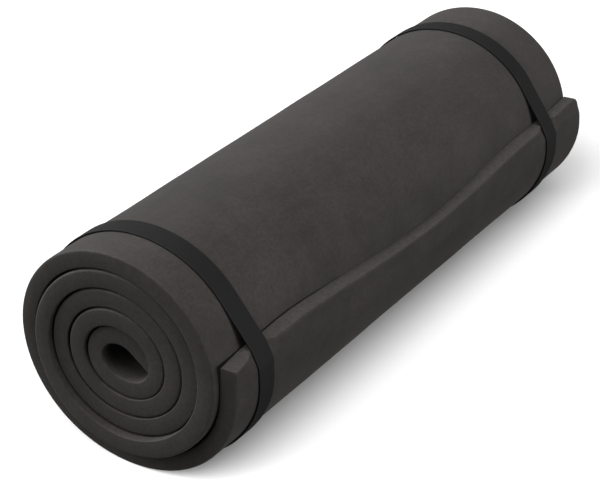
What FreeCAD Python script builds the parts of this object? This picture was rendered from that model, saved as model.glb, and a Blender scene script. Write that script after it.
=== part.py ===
import FreeCAD, Part
import math
import os
from FreeCAD import Vector

# Foam exercise mat, rolled up and held by two elastic bands.
# The roll lies along Y, its loose end is a flap on the +X side, and +Z is up.
# Every cross-section lies in the XZ plane. Lengths are in mm, angles in degrees.

# ---- driving dimensions ------------------------------------------------------
mat_width = 600.0            # along the roll
mat_thickness = 15.0         # one layer of foam
turn_gap = 1.7               # air between one turn and the next
turns_past_first = 4         # full turns after the first one
core_bend_radius = 19.2      # middle of the foam, first whole quarter turn
tip_straight = 12.0          # inner end of the sheet, before it starts to curl
tip_bend = 36.0              # crease that leads from the inner end into the roll
tip_bend_inside = 1.0        # radius of that crease on its hollow side
flap_straight = 20.0         # outer end of the sheet, which stands off the roll
flap_slack = 5.0             # how much wider the last quarter turn curls, so that it does
press_flat = 6.0             # flat pressed into every turn, underneath and on top
flap_edge_radius = 4.0       # the outer end's edge, rounded where the bands bear on it

band_width = 20.0
band_thickness = 1.5
band_clearance = 0.3         # between a band and the foam
near_band_inset = 41.0       # middle of the near band, from the near end of the roll
far_band_inset = 67.0        # middle of the far band, from the far end of the roll

lap_length = 30.0            # where the two ends of a band lie on each other
lap_gap = 0.1                # between the two plies of that lap
lap_start = 10.0             # the inner end of a band, past the roll's left-most line
lap_ramp_radius = 50.0       # bend that brings the outer ply back round the roll

stitch_thread = 0.5
stitch_length = 2.4
stitch_rows = 6              # bar tacks across the lap
stitches_in_row = 5
stitch_edge = 3.0            # from the first and last tack to the ends of the lap
stitch_cover = 0.3           # webbing left between a stitch's legs and the foam side
stitch_proud = 0.15          # how far a stitch stands out of the webbing

# ---- what follows from them --------------------------------------------------
pitch = mat_thickness + turn_gap
growth = pitch / 4           # each quarter turn's radius over the one before
half_foam = mat_thickness / 2
lap_rise = band_thickness + lap_gap


class Path:
    """A run of straight lines and left-hand arcs, each tangent to the last."""

    def __init__(self, x, z, heading):
        self.x = x
        self.z = z
        self.heading = heading
        self.pieces = []

    def forward(self, length):
        direction = math.radians(self.heading)
        start = (self.x, self.z)
        self.x += length * math.cos(direction)
        self.z += length * math.sin(direction)
        self.pieces.append(("line", start, (self.x, self.z), self.heading))

    def turn(self, radius, angle):
        """Curl left by angle; the arc's centre is to the left of the heading."""
        side = math.radians(self.heading + 90)
        centre = (self.x + radius * math.cos(side), self.z + radius * math.sin(side))
        start_angle = self.heading - 90
        end_angle = start_angle + angle
        end = math.radians(end_angle)
        self.x = centre[0] + radius * math.cos(end)
        self.z = centre[1] + radius * math.sin(end)
        self.heading += angle
        self.pieces.append(("arc", centre, radius, start_angle, end_angle))

    def edges(self, outward):
        """The path moved to its right, away from the centre of the roll."""
        made = []
        for piece in self.pieces:
            if piece[0] == "line":
                side = math.radians(piece[3] - 90)
                shift = Vector(outward * math.cos(side), 0, outward * math.sin(side))
                start = flat_point(*piece[1]) + shift
                end = flat_point(*piece[2]) + shift
                made.append(Part.LineSegment(start, end).toShape())
            else:
                centre, radius, start_angle, end_angle = piece[1:]
                middle_angle = (start_angle + end_angle) / 2
                on_arc = [round_point(centre, radius + outward, angle)
                          for angle in (start_angle, middle_angle, end_angle)]
                made.append(Part.Arc(*on_arc).toShape())
        return made


def flat_point(x, z):
    return Vector(x, 0, z)


def round_point(centre, radius, angle):
    turned = math.radians(angle)
    return flat_point(centre[0] + radius * math.cos(turned),
                      centre[1] + radius * math.sin(turned))


def first_point(edge):
    return edge.valueAt(edge.FirstParameter)


def last_point(edge):
    return edge.valueAt(edge.LastParameter)


def extrude_section(edges, width, middle):
    """A closed outline in the XZ plane, made width long about Y = middle."""
    wire = Part.Wire(Part.__sortEdges__(edges))
    solid = Part.Face(wire).extrude(Vector(0, width, 0))
    solid.translate(Vector(0, middle - width / 2, 0))
    return solid


def strip_outline(path, inner, outer):
    """Both sides of a strip that follows a path, closed by its two square ends."""
    inside = path.edges(inner)
    outside = path.edges(outer)
    start_end = Part.LineSegment(first_point(inside[0]), first_point(outside[0])).toShape()
    far_end = Part.LineSegment(last_point(inside[-1]), last_point(outside[-1])).toShape()
    return inside + outside + [start_end, far_end]


# ---- the rolled sheet --------------------------------------------------------
def roll_path():
    """Middle of the foam, from the inner tip to the end of the flap."""
    path = Path(0.0, 0.0, 180.0 - tip_bend)
    path.forward(tip_straight)
    path.turn(half_foam + tip_bend_inside, tip_bend)
    quarters = 4 * turns_past_first + 3
    for quarter in range(quarters):
        if quarter % 2 == 0:
            path.forward(press_flat)
        loose = flap_slack if quarter == quarters - 1 else 0.0
        path.turn(core_bend_radius + quarter * growth + loose, 90)
    path.forward(flap_straight)
    return path


def make_mat(path):
    mat = extrude_section(strip_outline(path, -half_foam, half_foam), mat_width, 0.0)
    corner = last_point(path.edges(half_foam)[-1])
    outer_corner = [edge for edge in mat.Edges
                    if edge.Length > mat_width * 0.99
                    and abs(edge.CenterOfMass.x - corner.x) < 0.01
                    and abs(edge.CenterOfMass.z - corner.z) < 0.01]
    return mat.makeFillet(flap_edge_radius, outer_corner)


# ---- the bands ---------------------------------------------------------------
def band_path(roll):
    """Inner face of a band: tight round the roll, over the flap, and lapped on itself.

    It starts under the lap, just past the roll's left-most line, and runs under
    the roll, up the flap, over the flap's edge, straight to the roll and round to
    its start, where it steps up over its own inner end.
    """
    arcs = [piece for piece in roll.pieces if piece[0] == "arc"]
    right_top, left_top, left_under, right_under = arcs[-4:]
    reach = half_foam + band_clearance

    lap_radius = left_under[2] + reach
    start_angle = 180.0 + lap_start
    start = round_point(left_under[1], lap_radius, start_angle)
    path = Path(start.x, start.z, start_angle + 90)
    path.turn(lap_radius, 270.0 - start_angle)
    path.forward(press_flat)
    path.turn(right_under[2] + reach, 90)
    path.forward(flap_straight - flap_edge_radius)

    # Over the flap's edge, as far as the tangent that touches both edge and roll.
    edge_radius = flap_edge_radius + band_clearance
    edge_centre = (path.x - edge_radius, path.z)
    roll_radius = right_top[2] + reach
    across = right_top[1][0] - edge_centre[0]
    down = right_top[1][1] - edge_centre[1]
    distance = math.hypot(across, down)
    bearing = math.degrees(math.atan2(down, across))
    lean = math.degrees(math.acos((edge_radius - roll_radius) / distance))
    tangent_angle = (bearing - lean) % 360.0
    path.turn(edge_radius, tangent_angle)
    path.forward(math.sqrt(distance ** 2 - (roll_radius - edge_radius) ** 2))
    path.turn(roll_radius, 90.0 - tangent_angle)

    # Round the top to the lap. The outer ply leaves on a straight ramp, and one
    # bend brings it down to a circle that lies lap_rise outside the inner ply.
    ramp = math.sqrt(lap_rise * (2 * (left_top[2] + reach - lap_ramp_radius) + lap_rise))
    ramp_angle = math.degrees(math.atan2(ramp, left_top[2] + reach - lap_ramp_radius))
    ramp_end = 180.0 - lap_start / 2
    path.forward(press_flat)
    path.turn(left_top[2] + reach, ramp_end - ramp_angle - 90.0)
    path.forward(ramp)
    path.turn(lap_ramp_radius, ramp_angle)
    path.turn(left_top[2] + reach + lap_rise, 180.0 - ramp_end)
    outer_radius = lap_radius + lap_rise
    inner_end_to_lap = math.radians(lap_start) * outer_radius
    lap_angle = math.degrees((inner_end_to_lap + lap_length) / outer_radius)
    path.turn(outer_radius, lap_angle)
    return path


def make_band(path, middle):
    return extrude_section(strip_outline(path, 0.0, band_thickness), band_width, middle)


def make_stitching(path, middle):
    """Rows of thread staples through both plies, one row beside the next."""
    centre, radius, _, lap_end = path.pieces[-1][1:]
    crown = radius + band_thickness + stitch_proud
    foot = radius - lap_rise + stitch_cover
    edge_angle = math.degrees(stitch_edge / radius)
    first = lap_end - math.degrees(lap_length / radius) + edge_angle
    step = (lap_end - edge_angle - first) / (stitch_rows - 1)
    spacing = (band_width - stitch_length - stitch_edge) / (stitches_in_row - 1)
    outline = [(-stitch_length / 2, foot), (-stitch_length / 2, crown),
               (stitch_length / 2, crown), (stitch_length / 2, foot),
               (stitch_length / 2 - stitch_thread, foot),
               (stitch_length / 2 - stitch_thread, crown - stitch_thread),
               (stitch_thread - stitch_length / 2, crown - stitch_thread),
               (stitch_thread - stitch_length / 2, foot)]
    stitches = []
    for row in range(stitch_rows):
        for number in range(stitches_in_row):
            along = middle + (number - (stitches_in_row - 1) / 2) * spacing
            points = [Vector(out, along + y, -stitch_thread / 2) for y, out in outline]
            wire = Part.makePolygon(points + points[:1])
            stitch = Part.Face(wire).extrude(Vector(0, 0, stitch_thread))
            stitch.rotate(Vector(0, 0, 0), Vector(0, -1, 0), first + row * step)
            stitch.translate(flat_point(*centre))
            stitches.append(stitch)
    return Part.makeCompound(stitches)


# ---- build and stand on the floor --------------------------------------------
roll = roll_path()
band = band_path(roll)
near_middle = near_band_inset - mat_width / 2
far_middle = mat_width / 2 - far_band_inset
parts = {
    "foam_mat": make_mat(roll),
    "near_band": make_band(band, near_middle),
    "far_band": make_band(band, far_middle),
    "near_band_stitching": make_stitching(band, near_middle),
    "far_band_stitching": make_stitching(band, far_middle),
}

whole = Part.makeCompound(list(parts.values())).optimalBoundingBox(False, False)
to_floor = Vector(-whole.Center.x, 0, -whole.ZMin)
os.makedirs("parts", exist_ok=True)
for name, shape in parts.items():
    shape.translate(to_floor)
    shape.exportStep("parts/" + name + ".step")
    print(name, "valid", shape.isValid(), "solids", len(shape.Solids), "volume", round(shape.Volume))

sheet_length = parts["foam_mat"].Volume / (mat_thickness * mat_width)
band_length = parts["near_band"].Volume / (band_thickness * band_width)
print("sheet length unrolled", round(sheet_length, 1))
print("band length cut", round(band_length, 1))
print("overall", round(whole.XLength, 2), round(whole.YLength, 2), round(whole.ZLength, 2))
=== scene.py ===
# %% [markdown]
# # A rolled foam exercise mat
# A closed-cell foam sheet is rolled up with its last few centimetres left standing
# off the roll as a flap, and two elastic bands go round it all. The CAD frame holds
# the true sizes, the places of the bands and how they slide. This lesson makes the
# three things the eye sees: soft foam, woven webbing and sewn thread.

# %% Load the fixed frame
import math

import bmesh
import bpy
import numpy as np
from mathutils import Matrix, Vector, noise


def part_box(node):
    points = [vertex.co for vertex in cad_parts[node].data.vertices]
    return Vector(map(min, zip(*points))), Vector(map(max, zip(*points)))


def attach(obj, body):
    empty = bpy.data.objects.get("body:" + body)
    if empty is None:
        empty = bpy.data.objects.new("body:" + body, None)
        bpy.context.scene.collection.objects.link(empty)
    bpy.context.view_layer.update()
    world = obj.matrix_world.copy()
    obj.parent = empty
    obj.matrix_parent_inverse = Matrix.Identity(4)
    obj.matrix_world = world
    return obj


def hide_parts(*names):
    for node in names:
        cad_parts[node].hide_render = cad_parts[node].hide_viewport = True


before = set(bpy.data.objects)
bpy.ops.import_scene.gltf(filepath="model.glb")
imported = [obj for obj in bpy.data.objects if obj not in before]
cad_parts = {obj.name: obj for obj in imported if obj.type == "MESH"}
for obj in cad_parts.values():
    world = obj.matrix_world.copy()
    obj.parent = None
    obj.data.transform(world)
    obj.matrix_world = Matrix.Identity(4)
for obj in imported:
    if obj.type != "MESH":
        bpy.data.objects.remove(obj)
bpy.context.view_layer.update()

mat_low, mat_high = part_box("foam_mat")
SHEET_WIDTH = mat_high.y - mat_low.y
print("pieces in the frame:", sorted(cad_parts))
print("sheet width", round(SHEET_WIDTH, 3), "m")

# %% [markdown]
# ## Camera
# The lens is long, so the roll's far end looks nearly as large as its near end. The
# camera could be placed by hand, but a direction, a distance and a point to look at
# are easier to reason about, so its place is worked out from those three.

# %% Camera
LOOK_AT = Vector((0.0113, -0.0690, 0.0964))
AZIMUTH = math.radians(32.9)
ELEVATION = math.radians(28.8)
CAMERA_DISTANCE = 1.619

towards_camera = Vector((math.sin(AZIMUTH) * math.cos(ELEVATION),
                         -math.cos(AZIMUTH) * math.cos(ELEVATION),
                         math.sin(ELEVATION)))
camera = bpy.data.objects.new("camera", bpy.data.cameras.new("camera"))
camera.data.lens = 112.0
camera.data.sensor_width = 36.0
camera.location = LOOK_AT + towards_camera * CAMERA_DISTANCE
camera.rotation_euler = (-towards_camera).to_track_quat("-Z", "Y").to_euler()
bpy.context.scene.collection.objects.link(camera)
bpy.context.scene.camera = camera
print("camera at", [round(v, 3) for v in camera.location])

# %% [markdown]
# ## Helpers for modelling by hand
# An edit-mode operator works on whatever is selected. These helpers start each
# piece from a clean selection, and pick edges by asking a question about each one,
# which is what a modeller does by eye. Moving points by a rule is kept for the soft
# shapes that no operator gives, such as slips, dents, cords and the dip of a stitch.

# %% Selecting and moving
TOUCHING = 1e-6            # two places closer than this are the same one


def new_block(name, size):
    """A block with one end at the origin: x along, y through, z across."""
    bpy.ops.object.select_all(action="DESELECT")
    bpy.ops.mesh.primitive_cube_add(size=1.0, location=(0.5, 0.0, 0.0))
    block = bpy.context.object
    block.name = name
    bpy.ops.object.transform_apply(location=True, rotation=True, scale=True)
    block.scale = size
    bpy.ops.object.transform_apply(location=False, rotation=False, scale=True)
    return block


def select_edges(piece, wanted):
    """In edit mode, selects the edges for which wanted(first, second) is true."""
    mesh = bmesh.from_edit_mesh(piece.data)
    mesh.select_mode = {"EDGE"}
    for edge in mesh.edges:
        edge.select_set(bool(wanted(edge.verts[0].co, edge.verts[1].co)))
    mesh.select_flush_mode()
    bmesh.update_edit_mesh(piece.data)


def cut_across(piece, axis, cuts, shortest=0.0):
    """Cuts every edge that runs along an axis, so the block gets rows across it."""
    def runs_along(first, second):
        run = second - first
        return abs(run[axis]) > max(shortest, 0.99 * run.length)
    bpy.ops.mesh.select_mode(type="EDGE")
    select_edges(piece, runs_along)
    bpy.ops.mesh.subdivide(number_cuts=cuts)


def move_points(piece, rule):
    """Gives every point a new place: rule takes and returns an array of points."""
    count = len(piece.data.vertices)
    points = np.empty(count * 3)
    piece.data.vertices.foreach_get("co", points)
    points = rule(points.reshape(count, 3).copy())
    piece.data.vertices.foreach_set("co", points.ravel())
    piece.data.update()


def ease(value):
    """0 below 0, 1 above 1, and a smooth step between."""
    value = np.clip(value, 0.0, 1.0)
    return value * value * (3.0 - 2.0 * value)


# %% [markdown]
# ## The line that the sheet follows
# Rolled foam isn't a perfect spiral. Its turns sit a little high and to the left of
# each other, they are wider than they are tall because the roll rests on its own
# weight, and the stiff inner end stays straight. One short formula for the radius
# says all of that, and it is easier to tune than a hand-drawn curve. The inner end
# runs straight along the spiral's tangent, and so does the flap at the outer end.

# %% Spiral
FOAM = 0.015
PITCH = 0.0166             # from one turn to the next
FIRST_RADIUS = 0.01345     # middle of the foam, where the spiral would start
LIFT = 0.0044              # turns sit high
LEAN = 0.0008              # and to the left
OVAL = 0.0045              # and are wider than tall
TIP_LEAVES = 0.155         # in turns, where the straight inner end joins the spiral
TIP_LENGTH = 0.023
FLAP_LEAVES = 5.0          # in turns, where the flap leaves the spiral
FLAP_LENGTH = 0.0300
SPIRAL_POINTS = 1400


def turn_radius(turns):
    """Middle of the foam, from the middle of the roll."""
    around = 2.0 * math.pi * turns
    growing = FIRST_RADIUS + PITCH * turns
    return growing + LIFT * np.sin(around) + (OVAL * np.cos(around) - LEAN) * np.cos(around)


LEFT_MOST = turn_radius(FLAP_LEAVES - 0.5) + FOAM / 2
centre_x = mat_low.x + LEFT_MOST
centre_z = (mat_low.z + mat_high.z) / 2


def on_spiral(turns):
    around = 2.0 * math.pi * turns
    radius = turn_radius(turns)
    return np.stack([centre_x + radius * np.cos(around),
                     centre_z + radius * np.sin(around)], axis=-1)


def measured(line):
    """How far along the line each of its points is."""
    steps = np.linalg.norm(np.diff(line, axis=0), axis=1)
    return np.concatenate([[0.0], np.cumsum(steps)])


turns = np.linspace(TIP_LEAVES, FLAP_LEAVES, SPIRAL_POINTS)
spiral = on_spiral(turns)
tip_way = (spiral[0] - spiral[1]) / np.linalg.norm(spiral[0] - spiral[1])
flap_way = (spiral[-1] - spiral[-2]) / np.linalg.norm(spiral[-1] - spiral[-2])
tip_end = spiral[0] + tip_way * TIP_LENGTH
flap_end = spiral[-1] + flap_way * FLAP_LENGTH
sheet_line = np.vstack([tip_end, spiral, flap_end])
SHEET_LENGTH = measured(sheet_line)[-1]
print("sheet length", round(SHEET_LENGTH, 3), "m, middle of the roll",
      round(centre_x, 4), round(centre_z, 4))

# %% [markdown]
# ## Slips, a worn end and the bands' grip
# Nobody rolls a mat dead straight. The second turn from the outside has slipped out
# towards the near end by almost a centimetre, and the outermost one is back in line.
# The end edge of the sheet isn't straight either: it is longest at its far corner,
# shortest in the middle, and that corner is worn round. The bands pull the flap in
# and squash its edge. These are rules on the flat sheet, applied before it is rolled.

# %% How far the sheet slips and how far the flap reaches
SLIP_INNER = 0.003
SLIP_SECOND_TURN = 0.0062
SLIP_MIDDLE = 3.76         # in turns
SLIP_SPREAD = 0.30
IN_LINE_FROM = 4.25        # the outer turn is back in line from here
FLAP_DIP_AT = 0.02         # along the roll, where the flap is shortest
FLAP_DIP = 0.0185
FLAP_FAR_RISE = 0.0140
NEAR_RISE_RUN = 0.28
FAR_RISE_RUN = 0.23
NEAR_CORNER_DROP = 0.0020
NEAR_CORNER_RUN = 0.04
FAR_CORNER = 0.010
CUT_SLANT = 0.0015         # the outer side of the cut stands higher
BAND_HALF = 0.011          # the flap is pulled in this far to each side of a band
FLAP_LEAN = 0.0048         # the bands pull the flap in, all but its near end
LEAN_FADES = 0.028
LEAN_RUN = 0.060           # along the sheet
BAND_SHORTENS = 0.0030     # what a band pushes the edge of the flap down
SHORTENS_FADES = 0.030
EDGE_SQUASH = 0.0055       # the outer corner of the edge gives way under a band
SQUASH_FADES = 0.006
SQUASH_RUN = 0.016
FAR_SQUASH = 0.5           # and it stays half squashed from there to the far end
FIRM_FILL = 0.0012         # turns press on each other on the side away from the slack
FIRM_SIDE = math.radians(8.0)
band_places = [(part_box(name)[0].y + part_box(name)[1].y) / 2 for name in ("near_band", "far_band")]


def slip(turn):
    """Towards the near end, for a place given in turns."""
    bump = SLIP_SECOND_TURN * np.exp(-((turn - SLIP_MIDDLE) / SLIP_SPREAD) ** 2)
    inner = SLIP_INNER * ease(turn) * (1.0 - ease((turn - IN_LINE_FROM) * 2.0))
    return bump + inner


def flap_shortfall(along):
    """How much shorter than its longest the flap is, for places along the roll."""
    near_side = 1.0 - ease((FLAP_DIP_AT - along) / NEAR_RISE_RUN)
    far_side = FLAP_FAR_RISE * ease((along - FLAP_DIP_AT) / FAR_RISE_RUN)
    drop = NEAR_CORNER_DROP * ease((mat_low.y + NEAR_CORNER_RUN - along) / NEAR_CORNER_RUN)
    past_corner = np.clip((along - (mat_high.y - FAR_CORNER)) / FAR_CORNER, 0.0, 1.0)
    corner = FAR_CORNER * (1.0 - np.sqrt(1.0 - 0.98 * past_corner ** 2))
    return FLAP_DIP * near_side - far_side + drop + corner


def from_bands(along):
    """How far each place is from the stretch of the nearest band."""
    return np.maximum(np.min([np.abs(along - at) for at in band_places], axis=0) - BAND_HALF, 0.0)


def flap_lean(along):
    """How far the very end of the flap is pulled towards the roll."""
    before_band = np.maximum(band_places[0] - BAND_HALF - along, 0.0)
    return FLAP_LEAN * np.exp(-(before_band / LEAN_FADES) ** 2)


for place in (mat_low.y, *band_places, FLAP_DIP_AT, mat_high.y):
    short_by = float(flap_shortfall(np.array(place)))
    leans_by = float(flap_lean(np.array(place)))
    print("at", round(place, 3), "the flap is short by", round(short_by * 1000, 1),
          "mm and leans in", round(leans_by * 1000, 1), "mm")

# %% [markdown]
# ## Rolling up the foam sheet
# A spiral could be extruded and thickened, but then every cut and corner would have
# to be made on a curved body. It is easier to make the sheet flat, as the factory
# does, round its edges, and let a Curve modifier roll it up. The edges on the outer
# face are rounder than those inside, because foam that bends outwards stretches thin
# there. The rows are close together so that the tight inner turn stays smooth.
# While it is flat, the sheet is given two things that its finish reads later: a map
# in metres, which goes round the roll with it, and a mark on its cut end. That end
# faces up on the flap, and the finish paints it paler as painted light.

# %% Flat sheet
OUTER_ROUND = 0.0020
INNER_ROUND = 0.0010
ROWS_TWICE = 24            # cut twice over, so 25 x 25 rows along the sheet
ROWS_ACROSS = 29
CLOSE_TO_BAND = 0.014      # where the rows across are four times as close
FAR_ROWS = 0.022 - SHEET_WIDTH / 2   # and closer still at the round far corner
ROW_GAP = 0.004            # an edge longer than this runs from row to row

mat = new_block("foam_mat_soft", (SHEET_LENGTH, FOAM, SHEET_WIDTH))
bpy.ops.object.mode_set(mode="EDIT")
bpy.ops.mesh.select_mode(type="EDGE")
select_edges(mat, lambda a, b: a.y < 0 and b.y < 0)
bpy.ops.mesh.bevel(offset=OUTER_ROUND, segments=4, profile=0.5, affect="EDGES")
select_edges(mat, lambda a, b: abs(a.y - FOAM / 2) < TOUCHING
             and abs(b.y - FOAM / 2) < TOUCHING)
bpy.ops.mesh.bevel(offset=INNER_ROUND, segments=3, profile=0.5, affect="EDGES")
for _ in range(2):
    cut_across(mat, 0, ROWS_TWICE, shortest=0.002)
cut_across(mat, 2, ROWS_ACROSS, shortest=0.1)
select_edges(mat, lambda a, b: abs(a.z - b.z) > ROW_GAP
             and float(from_bands(-(a.z + b.z) / 2)) < CLOSE_TO_BAND)
bpy.ops.mesh.subdivide(number_cuts=3)
select_edges(mat, lambda a, b: abs(a.z - b.z) > ROW_GAP and a.z < FAR_ROWS and b.z < FAR_ROWS)
bpy.ops.mesh.subdivide(number_cuts=5)
bpy.ops.object.mode_set(mode="OBJECT")
print("flat sheet has", len(mat.data.polygons), "faces")

# %% A map and a mark on the flat sheet
CUT_DEPTH = 0.0005

flat_map = mat.data.uv_layers.new(name="sheet")
# This mark carries painted light: the finish paints the flap's upward cut end paler.
painted_light_mark = mat.data.attributes.new("cut", "FLOAT", "POINT")
for loop in mat.data.loops:
    point = mat.data.vertices[loop.vertex_index].co
    flat_map.data[loop.index].uv = (point.x, point.z)
cut_at = SHEET_LENGTH - CUT_DEPTH
for vertex in mat.data.vertices:
    painted_light_mark.data[vertex.index].value = 1.0 if vertex.co.x > cut_at else 0.0
print("marked", sum(mark.value > 0.0 for mark in painted_light_mark.data), "points on the cut end")


# %% Slip the turns and shape the flap's end
TIP_COUNTS = 0.10          # in turns, what each straight end counts as
FLAP_COUNTS = 0.05
SHAPED_END = 0.05          # along the sheet, the part that makes up the flap's edge

line_length = measured(sheet_line)
line_turns = np.concatenate([[TIP_LEAVES - TIP_COUNTS], turns, [FLAP_LEAVES + FLAP_COUNTS]])


def shape_flat_sheet(points):
    along = -points[:, 2]
    outer_share = 0.5 - points[:, 1] / FOAM
    from_end = SHEET_LENGTH - points[:, 0]
    share = ease(1.0 - from_end / SHAPED_END)
    pushed = BAND_SHORTENS * np.exp(-(from_bands(along) / SHORTENS_FADES) ** 2)
    slant = CUT_SLANT * (0.5 - outer_share)
    points[:, 0] -= share * (flap_shortfall(along) + pushed + slant)
    here = np.interp(points[:, 0], line_length, line_turns)
    points[:, 2] += slip(here)

    firm = ease((np.cos(2.0 * math.pi * here - FIRM_SIDE) + 0.1) / 0.8)
    firm *= ease((here - 1.5) / 0.3) * ease((4.75 - here) / 0.15)
    points[:, 1] += FIRM_FILL * firm * (1.0 - outer_share)
    points[:, 1] += flap_lean(along) * np.clip(1.0 - from_end / LEAN_RUN, 0.0, 1.0) ** 2
    gripped = np.exp(-(from_bands(along) / SQUASH_FADES) ** 2)
    gripped = np.maximum(gripped, FAR_SQUASH * ease((along - band_places[1]) / 0.03))
    points[:, 1] += EDGE_SQUASH * gripped * outer_share * ease(1.0 - from_end / SQUASH_RUN)
    return points


move_points(mat, shape_flat_sheet)


# %% Roll it up
def roll_along(piece, line):
    """Bends a flat piece along a line in the XZ plane, and stands it in the frame."""
    curve = bpy.data.curves.new(piece.name + "_line", "CURVE")
    curve.dimensions = "2D"
    curve.use_radius = False
    spline = curve.splines.new("POLY")
    spline.points.add(len(line) - 1)
    flat = np.column_stack([line, np.zeros(len(line)), np.ones(len(line))])
    spline.points.foreach_set("co", flat.ravel())
    guide = bpy.data.objects.new(piece.name + "_line", curve)
    bpy.context.scene.collection.objects.link(guide)
    bend = piece.modifiers.new("roll", "CURVE")
    bend.object = guide
    bend.deform_axis = "POS_X"
    bpy.ops.object.select_all(action="DESELECT")
    bpy.context.view_layer.objects.active = piece
    piece.select_set(True)
    bpy.ops.object.modifier_apply(modifier=bend.name)
    bpy.data.objects.remove(guide)
    piece.rotation_euler = (math.pi / 2, 0.0, 0.0)
    bpy.ops.object.transform_apply(location=True, rotation=True, scale=True)


roll_along(mat, sheet_line)
low = np.min([v.co for v in mat.data.vertices], axis=0)
high = np.max([v.co for v in mat.data.vertices], axis=0)
print("rolled mat from", low.round(4), "to", high.round(4))


# %% [markdown]
# ## Soft lumps
# Foam that has been rolled many times is never a true cylinder. A texture could fake
# it, but then the edge of the shadow and the highlight would still be ruled straight.
# So the points move along their normals by a fraction of a millimetre, in broad
# patches from a noise function, and the surface keeps its thickness.

# %% Lumps
LUMP_DEPTH = 0.00035
LUMP_SIZE = 0.055


def lumpy(points):
    normals = np.empty(len(points) * 3)
    mat.data.vertex_normals.foreach_get("vector", normals)
    normals = normals.reshape(len(points), 3)
    depth = np.array([noise.noise(Vector(p) / LUMP_SIZE) for p in points])
    return points + normals * (depth * LUMP_DEPTH)[:, None]


move_points(mat, lumpy)
bpy.ops.object.select_all(action="DESELECT")
bpy.context.view_layer.objects.active = mat
mat.select_set(True)
bpy.ops.object.shade_smooth_by_angle(angle=math.radians(50))
print("lumps up to", LUMP_DEPTH * 1000, "mm")

# %% [markdown]
# ## The way a tight band goes
# A tight band touches only what sticks out the most. For each direction round the
# roll, the band lies on the outermost point of the foam under it, plus a little air,
# so it bridges the hollow between the roll and the flap by itself. Its two ends lie
# on each other on the left side, and the upper one climbs over the lower.

# %% Band line
BAND_THICKNESS = 0.0015
BAND_AIR = 0.0003
LAP_RISE = 0.0016
LAP_LENGTH = 0.030
BAND_START = math.radians(190.0)
RISE_FROM = math.radians(168.0)
RISE_TO = math.radians(186.0)
BAND_POINTS = 900


def outline_at(along):
    """The rolled mat under a band, as points in the XZ plane."""
    points = np.array([vertex.co for vertex in mat.data.vertices])
    under = np.abs(points[:, 1] - along) < BAND_HALF
    return points[under][:, [0, 2]]


def band_line(along):
    """Middle of the webbing, from its inner end round to its outer end."""
    outline = outline_at(along)
    lap_angle = LAP_LENGTH / LEFT_MOST
    angles = np.linspace(BAND_START, BAND_START + 2.0 * math.pi + lap_angle, BAND_POINTS)
    line = []
    for angle in angles:
        way = np.array([math.cos(angle), math.sin(angle)])
        outermost = outline[np.argmax(outline @ way)]
        past_full = angle - 2.0 * math.pi
        rise = LAP_RISE * float(ease((past_full - RISE_FROM) / (RISE_TO - RISE_FROM)))
        line.append(outermost + way * (BAND_AIR + BAND_THICKNESS / 2 + rise))
    return np.array(line)


# %% [markdown]
# ## Woven webbing
# The bands are flat elastic, with cords running lengthwise under the weave. Each is
# made as a straight strip, with its selvedges rounded and its rows of cords raised by
# a rule, and is then wrapped round the roll in the same way as the sheet. Its flat
# shape also gives a map of the weave, so the threads follow the strip.

# %% Straight strip
CORDS = 9
CORD_HEIGHT = 0.00013
SELVEDGE_ROUND = 0.00045


def webbing_strip(name, length, width):
    strip = new_block(name, (length, BAND_THICKNESS, width))
    bpy.ops.object.mode_set(mode="EDIT")
    bpy.ops.mesh.select_mode(type="EDGE")
    corner = width / 2 - TOUCHING
    select_edges(strip, lambda a, b: abs(a.z) > corner and abs(b.z) > corner
                 and abs(a.x - b.x) > length / 2)
    bpy.ops.mesh.bevel(offset=SELVEDGE_ROUND, segments=3, profile=0.5, affect="EDGES")
    cut_across(strip, 2, 4 * CORDS - 1, shortest=width / 2)
    for _ in range(2):
        cut_across(strip, 0, ROWS_TWICE, shortest=0.0005)
    bpy.ops.object.mode_set(mode="OBJECT")

    weave = strip.data.uv_layers.new(name="weave")
    for loop in strip.data.loops:
        point = strip.data.vertices[loop.vertex_index].co
        weave.data[loop.index].uv = (point.x, point.z)

    def raise_cords(points):
        across = points[:, 2] / (width - 2 * SELVEDGE_ROUND) + 0.5
        cord = np.abs(np.sin(math.pi * CORDS * np.clip(across, 0.0, 1.0)))
        side = np.where(np.abs(points[:, 1]) > BAND_THICKNESS * 0.45, np.sign(points[:, 1]), 0.0)
        points[:, 1] -= side * CORD_HEIGHT * (1.0 - cord)
        return points
    move_points(strip, raise_cords)
    return strip


# %% Wrap the two bands
bands = {}
for name in ("near_band", "far_band"):
    low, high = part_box(name)
    middle = (low.y + high.y) / 2
    line = band_line(middle)
    strip = webbing_strip(name + "_webbing", measured(line)[-1], high.y - low.y)
    roll_along(strip, line)
    move_points(strip, lambda points: points + (0.0, middle, 0.0))
    bpy.ops.object.shade_smooth_by_angle(angle=math.radians(40))
    bands[name] = (strip, line, middle)
    print(name, "webbing", round(measured(line)[-1], 3), "m long,", len(strip.data.polygons), "faces")

# %% [markdown]
# ## Sewn lap
# The ends of each band are sewn together with rows of short bar tacks. One stitch is
# modelled as a bead of thread that dips into the cloth at both ends, and copies of it
# are laid in rows, leaning this way and that as a machine's zigzag leaves them.

# %% One stitch
STITCH_LENGTH = 0.0030
STITCH_THREAD = 0.00062
STITCH_ROWS = 6
STITCHES_IN_ROW = 5
ROW_FROM_END = 0.003
ROW_SPACING = 0.0048
STITCH_LEAN = math.radians(14.0)
STITCH_MARGIN = 0.0052     # of the webbing's width, not crossed by stitch middles
ABOVE_CLOTH = 0.00005
LOOK_AHEAD = 0.0005        # along the band, to find which way it runs


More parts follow.
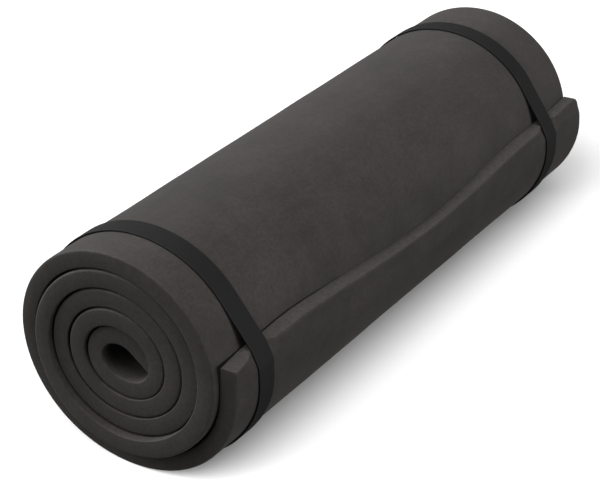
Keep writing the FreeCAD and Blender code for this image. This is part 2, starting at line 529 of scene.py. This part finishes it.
def one_stitch():
    """Lies along y, with z away from the cloth."""
    bpy.ops.object.select_all(action="DESELECT")
    bpy.ops.mesh.primitive_cylinder_add(vertices=8, radius=STITCH_THREAD / 2, depth=STITCH_LENGTH,
                                        rotation=(math.pi / 2, 0.0, 0.0))
    stitch = bpy.context.object
    bpy.ops.object.transform_apply(location=True, rotation=True, scale=True)
    bpy.ops.object.mode_set(mode="EDIT")
    cut_across(stitch, 1, 6)
    bpy.ops.object.mode_set(mode="OBJECT")

    def dip(points):
        end = (2.0 * np.abs(points[:, 1]) / STITCH_LENGTH) ** 3
        points[:, 0] *= 1.0 - 0.45 * end
        points[:, 2] = points[:, 2] * (0.8 - 0.3 * end) - 0.45 * STITCH_THREAD * end
        return points
    move_points(stitch, dip)
    bpy.ops.object.shade_smooth_by_angle(angle=math.radians(60))
    return stitch


# %% Rows of stitches
def sew_lap(name, line, middle, width):
    pattern = one_stitch()
    distance = measured(line)
    copies = []
    for row in range(STITCH_ROWS):
        here = distance[-1] - ROW_FROM_END - row * ROW_SPACING
        spot = np.array([np.interp(here, distance, line[:, k]) for k in range(2)])
        ahead = np.array([np.interp(here + LOOK_AHEAD, distance, line[:, k]) for k in range(2)]) - spot
        ahead /= np.linalg.norm(ahead)
        away = Vector((ahead[1], 0.0, -ahead[0]))
        place = Vector((spot[0], middle, spot[1])) + away * (BAND_THICKNESS / 2 + ABOVE_CLOTH)
        for number in range(STITCHES_IN_ROW):
            spread = (number - (STITCHES_IN_ROW - 1) / 2) * (width - STITCH_MARGIN) / (STITCHES_IN_ROW - 1)
            lean = STITCH_LEAN * (-1) ** (row + number)
            turned = Matrix((Vector((ahead[0], 0, ahead[1])), Vector((0, 1, 0)), away)).transposed()
            where = Matrix.Translation(place + Vector((0, spread, 0))) @ turned.to_4x4()
            copy = pattern.copy()
            copy.data = pattern.data.copy()
            bpy.context.scene.collection.objects.link(copy)
            copy.data.transform(where @ Matrix.Rotation(lean, 4, "Z"))
            copies.append(copy)
    bpy.data.objects.remove(pattern)
    bpy.ops.object.select_all(action="DESELECT")
    for copy in copies:
        copy.select_set(True)
    bpy.context.view_layer.objects.active = copies[0]
    bpy.ops.object.join()
    sewn = bpy.context.object
    sewn.name = name
    print(name, len(copies), "stitches")
    return sewn


stitching = {}
for name, (strip, line, middle) in bands.items():
    low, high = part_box(name)
    stitching[name] = sew_lap(name + "_sewing", line, middle, high.y - low.y)

# %% [markdown]
# ## Finishes
# Foam, webbing and thread are all nearly black, so it is their grain and their shine
# that tell them apart. Each finish is built from noise and waves in the shader. A
# picture would be quicker, but it would have to be wrapped round a spiral. Clouds and
# cells are noise in the object's own space, which needs no wrapping, and what runs
# with the cloth or the sheet, such as threads and creases, reads its flat map.

# %% Small tools for shader nodes
class Finish:
    """A material with its nodes, and short ways to add and join more of them."""

    def __init__(self, name):
        self.material = bpy.data.materials.new(name)
        self.material.use_nodes = True
        self.tree = self.material.node_tree
        self.shader = self.tree.nodes["Principled BSDF"]

    def node(self, kind, **settings):
        made = self.tree.nodes.new(kind)
        for key, value in settings.items():
            setattr(made, key, value)
        return made

    def join(self, source, target):
        self.tree.links.new(source, target)

    def noise(self, where, scale, detail=4.0, roughness=0.55):
        made = self.node("ShaderNodeTexNoise")
        made.inputs["Scale"].default_value = scale
        made.inputs["Detail"].default_value = detail
        made.inputs["Roughness"].default_value = roughness
        self.join(where, made.inputs["Vector"])
        return made.outputs["Fac"]

    def blend_colours(self, share, first, second):
        made = self.node("ShaderNodeMix", data_type="RGBA")
        for socket, colour in ((made.inputs[6], first), (made.inputs[7], second)):
            if isinstance(colour, tuple):
                socket.default_value = (*colour, 1.0)
            else:
                self.join(colour, socket)
        self.join(share, made.inputs["Factor"])
        return made.outputs[2]

    def stretch(self, value, low, high, to_low=0.0, to_high=1.0):
        made = self.node("ShaderNodeMapRange")
        made.inputs["From Min"].default_value = low
        made.inputs["From Max"].default_value = high
        made.inputs["To Min"].default_value = to_low
        made.inputs["To Max"].default_value = to_high
        self.join(value, made.inputs["Value"])
        return made.outputs["Result"]

    def bump(self, height, distance, strength, under=None):
        made = self.node("ShaderNodeBump")
        made.inputs["Distance"].default_value = distance
        made.inputs["Strength"].default_value = strength
        self.join(height, made.inputs["Height"])
        if under is not None:
            self.join(under, made.inputs["Normal"])
        return made.outputs["Normal"]


# %% Closed-cell foam
def foam_finish():
    """Charcoal, matt and warm, with clouds of dust, faint creases, fine cells and painted light that makes
    the flap's upward cut end paler.
    """
    made = Finish("charcoal_foam")
    place = made.node("ShaderNodeTexCoord").outputs["Object"]
    flat = made.node("ShaderNodeUVMap", uv_map="sheet").outputs["UV"]
    across = made.node("ShaderNodeMapping")
    across.inputs["Scale"].default_value = (1.0, 0.22, 1.0)
    made.join(flat, across.inputs["Vector"])
    creased = across.outputs["Vector"]

    clouds = made.stretch(made.noise(place, 12.0, 8.0, 0.68), 0.38, 0.66)
    warmth = made.stretch(made.noise(place, 17.0, 3.0), 0.4, 0.65)
    streaks = made.stretch(made.noise(creased, 75.0, 5.0, 0.6), 0.35, 0.75)
    base = made.blend_colours(warmth, (0.0098, 0.0081, 0.0072), (0.0112, 0.0088, 0.0076))
    clouded = made.blend_colours(clouds, base, (0.0215, 0.0180, 0.0160))
    streaked = made.blend_colours(made.stretch(streaks, 0.0, 1.0, 0.0, 0.55),
                                  clouded, (0.0225, 0.0190, 0.0170))
    # Painted light: the flap's cut end, which faces up, is painted paler than the rest of the foam.
    cut = made.node("ShaderNodeAttribute", attribute_name="cut").outputs["Fac"]
    painted_light_end = made.blend_colours(made.stretch(cut, 0.0, 1.0, 0.0, 0.85),
                                streaked, (0.0330, 0.0295, 0.0275))
    grain = made.stretch(made.noise(place, 330.0, 3.0, 0.7), 0.38, 0.62, 0.0, 0.60)
    made.join(made.blend_colours(grain, painted_light_end, (0.0058, 0.0047, 0.0042)),
              made.shader.inputs["Base Color"])
    made.join(made.stretch(clouds, 0.0, 1.0, 0.80, 0.66), made.shader.inputs["Roughness"])
    made.shader.inputs["Specular IOR Level"].default_value = 0.26
    made.shader.inputs["Sheen Weight"].default_value = 0.04
    made.shader.inputs["Sheen Roughness"].default_value = 0.6
    broad = made.bump(made.noise(place, 120.0, 3.0), 0.0006, 0.35)
    folds = made.bump(streaks, 0.0005, 0.30, broad)
    cells = made.bump(made.noise(place, 1100.0, 2.0, 0.7), 0.00012, 0.5, folds)
    made.join(cells, made.shader.inputs["Normal"])
    return made.material


# %% Elastic webbing
def webbing_finish():
    """Near-black polyester, with threads that cross the raised cords."""
    made = Finish("elastic_webbing")
    flat = made.node("ShaderNodeUVMap", uv_map="weave").outputs["UV"]
    weft = made.node("ShaderNodeTexWave", wave_type="BANDS", bands_direction="X")
    weft.inputs["Scale"].default_value = 330.0
    weft.inputs["Distortion"].default_value = 0.6
    made.join(flat, weft.inputs["Vector"])
    warp = made.node("ShaderNodeTexWave", wave_type="BANDS", bands_direction="Y")
    warp.inputs["Scale"].default_value = 290.0
    made.join(flat, warp.inputs["Vector"])
    crossed = made.node("ShaderNodeMath", operation="MULTIPLY")
    made.join(weft.outputs["Fac"], crossed.inputs[0])
    made.join(warp.outputs["Fac"], crossed.inputs[1])
    weave = crossed.outputs["Value"]
    fade = made.stretch(made.noise(flat, 60.0, 3.0), 0.35, 0.7)
    thread = made.blend_colours(fade, (0.0034, 0.0032, 0.0031), (0.0053, 0.0050, 0.0049))
    made.join(made.blend_colours(weave, (0.0020, 0.0019, 0.0019), thread),
              made.shader.inputs["Base Color"])
    made.shader.inputs["Roughness"].default_value = 0.70
    made.shader.inputs["Specular IOR Level"].default_value = 0.2
    made.join(made.bump(weave, 0.00025, 0.7), made.shader.inputs["Normal"])
    return made.material


# %% Sewing thread
def thread_finish():
    """Black bonded thread, shinier than the webbing, with its twist showing."""
    made = Finish("sewing_thread")
    place = made.node("ShaderNodeTexCoord").outputs["Object"]
    twist = made.node("ShaderNodeTexWave", wave_type="BANDS", bands_direction="DIAGONAL")
    twist.inputs["Scale"].default_value = 700.0
    made.join(place, twist.inputs["Vector"])
    made.join(made.blend_colours(twist.outputs["Fac"], (0.008, 0.008, 0.009), (0.022, 0.022, 0.024)),
              made.shader.inputs["Base Color"])
    made.shader.inputs["Roughness"].default_value = 0.42
    made.join(made.bump(twist.outputs["Fac"], 0.0001, 0.6), made.shader.inputs["Normal"])
    return made.material


def dress(piece, material):
    piece.data.materials.clear()
    piece.data.materials.append(material)


dress(mat, foam_finish())
webbing, thread = webbing_finish(), thread_finish()
for name, (strip, line, middle) in bands.items():
    dress(strip, webbing)
    dress(stitching[name], thread)
print("finishes:", [m.name for m in bpy.data.materials if m.users])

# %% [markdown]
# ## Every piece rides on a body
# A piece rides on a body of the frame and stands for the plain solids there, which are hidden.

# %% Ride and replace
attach(mat, "roll")
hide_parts("foam_mat")
for name, (strip, line, middle) in bands.items():
    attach(strip, name)
    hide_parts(name)
    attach(stitching[name], name)
    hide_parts(name + "_stitching")

# %% [markdown]
# ## Studio
# A pale floor and large soft lights. Lamps close by would leave the floor grey further
# off, so each is a sun with a wide disc, which is as soft as a large lamp and even
# everywhere. A black object on white needs other light on it than the floor does, so
# each has lamps of its own: light linking says what a lamp reaches, which no real
# studio can do. The floor also sends no light back to the mat, and the camera sees the
# world as white while the mat is lit by a much dimmer one. The floor's lamps come from
# the front, so that its shadow is narrow and hugs the roll.

# %% Floor and lights
bpy.ops.object.select_all(action="DESELECT")
bpy.ops.mesh.primitive_plane_add(size=60.0, location=(0.0, 0.0, 0.0))
floor = bpy.context.object
floor.name = "floor"
white = Finish("white_floor")
white.shader.inputs["Base Color"].default_value = (0.9, 0.9, 0.9, 1.0)
white.shader.inputs["Roughness"].default_value = 1.0
white.shader.inputs["Specular IOR Level"].default_value = 0.0
dress(floor, white.material)
floor.visible_diffuse = False
floor.visible_glossy = False


def soft_light(name, side, back, up, spread, strength, pieces):
    """A wide sun from a direction given as the camera sees it; spread in degrees."""
    right = Vector((math.cos(AZIMUTH), math.sin(AZIMUTH), 0.0))
    away = Vector((-math.sin(AZIMUTH), math.cos(AZIMUTH), 0.0))
    data = bpy.data.lights.new(name, "SUN")
    data.energy = strength
    data.angle = math.radians(spread)
    light = bpy.data.objects.new(name, data)
    from_way = right * side + away * back + Vector((0.0, 0.0, up))
    light.rotation_euler = from_way.to_track_quat("Z", "Y").to_euler()
    bpy.context.scene.collection.objects.link(light)
    lit = bpy.data.collections.new(name + "_lights")
    for piece in pieces:
        lit.objects.link(piece)
    light.light_linking.receiver_collection = lit


the_mat = [mat, *(strip for strip, line, middle in bands.values()), *stitching.values()]
soft_light("overhead", -0.2, 0.0, 1.0, 46.0, 3.5, the_mat)
soft_light("left_behind", -2.2, 1.0, 0.9, 31.0, 4.0, the_mat)
soft_light("front_left", -1.3, -0.8, 1.2, 60.0, 2.0, the_mat)
soft_light("right_low", 2.0, -1.2, 0.12, 30.0, 5.2, the_mat)
soft_light("floor_front", 0.0, -1.0, 1.0, 50.0, 3.6, [floor])
soft_light("floor_left", -1.0, -1.0, 1.0, 50.0, 3.4, [floor])

world = bpy.data.worlds.new("studio")
world.use_nodes = True
seen = world.node_tree.nodes["Background"]
seen.inputs["Color"].default_value = (1.0, 1.0, 1.0, 1.0)
seen.inputs["Strength"].default_value = 1.0
lighting = world.node_tree.nodes.new("ShaderNodeBackground")
lighting.inputs["Color"].default_value = (1.0, 1.0, 1.0, 1.0)
lighting.inputs["Strength"].default_value = 0.13
by_ray = world.node_tree.nodes.new("ShaderNodeMixShader")
ray = world.node_tree.nodes.new("ShaderNodeLightPath")
world.node_tree.links.new(ray.outputs["Is Camera Ray"], by_ray.inputs["Fac"])
world.node_tree.links.new(lighting.outputs["Background"], by_ray.inputs[1])
world.node_tree.links.new(seen.outputs["Background"], by_ray.inputs[2])
world.node_tree.links.new(by_ray.outputs["Shader"],
                          world.node_tree.nodes["World Output"].inputs["Surface"])
bpy.context.scene.world = world
bpy.context.scene.view_settings.view_transform = "Standard"
